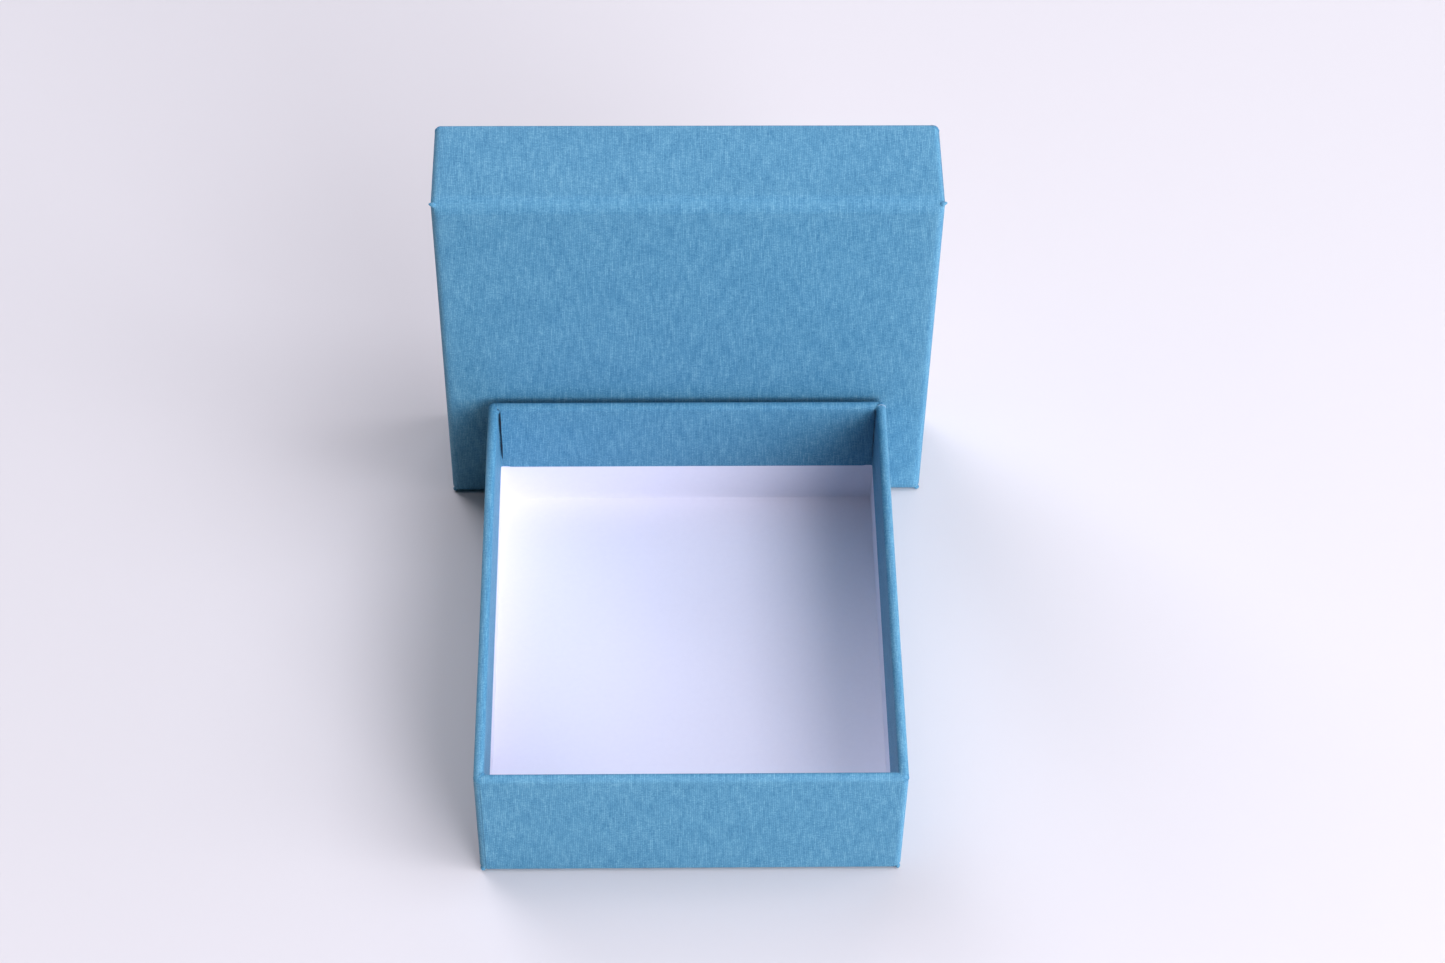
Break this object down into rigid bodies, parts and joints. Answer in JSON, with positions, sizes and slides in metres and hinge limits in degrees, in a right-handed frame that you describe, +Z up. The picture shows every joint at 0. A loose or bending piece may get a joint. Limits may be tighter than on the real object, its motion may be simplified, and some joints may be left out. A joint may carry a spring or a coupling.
{
  "type": "jewelry gift box",
  "caption": "Rigid paper gift box for jewelry: an open rectangular base and its lift-off lid, wrapped in blue linen-embossed paper and lined in white.",
  "frame": {"origin": "centre of the base's underside, on the surface that the box stands on", "axes": "+X along the base's short side, +Y along the base's long side towards the standing lid, +Z up"},
  "size_m": [0.08, 0.0948, 0.07],
  "materials": {
    "wrap_paper": "matt, linen-embossed",
    "lining_paper": "matt, smooth",
    "greyboard": "raw board",
    "stay_paper": "gummed kraft tape"
  },
  "bodies": {
    "base": {"base_board": "greyboard", "base_liner": "lining_paper", "base_wrap": "wrap_paper", "base_corner_stay_1": "stay_paper", "base_corner_stay_2": "stay_paper", "base_corner_stay_3": "stay_paper", "base_corner_stay_4": "stay_paper"},
    "lid": {"lid_board": "greyboard", "lid_liner": "lining_paper", "lid_wrap": "wrap_paper", "lid_corner_stay_1": "stay_paper", "lid_corner_stay_2": "stay_paper", "lid_corner_stay_3": "stay_paper", "lid_corner_stay_4": "stay_paper"}
  },
  "joints": [
    {"name": "lid_lift", "type": "slide", "parent": "base", "child": "lid", "axis": [0, 0, 1], "range_m": [0, 0.12]}
  ]
}
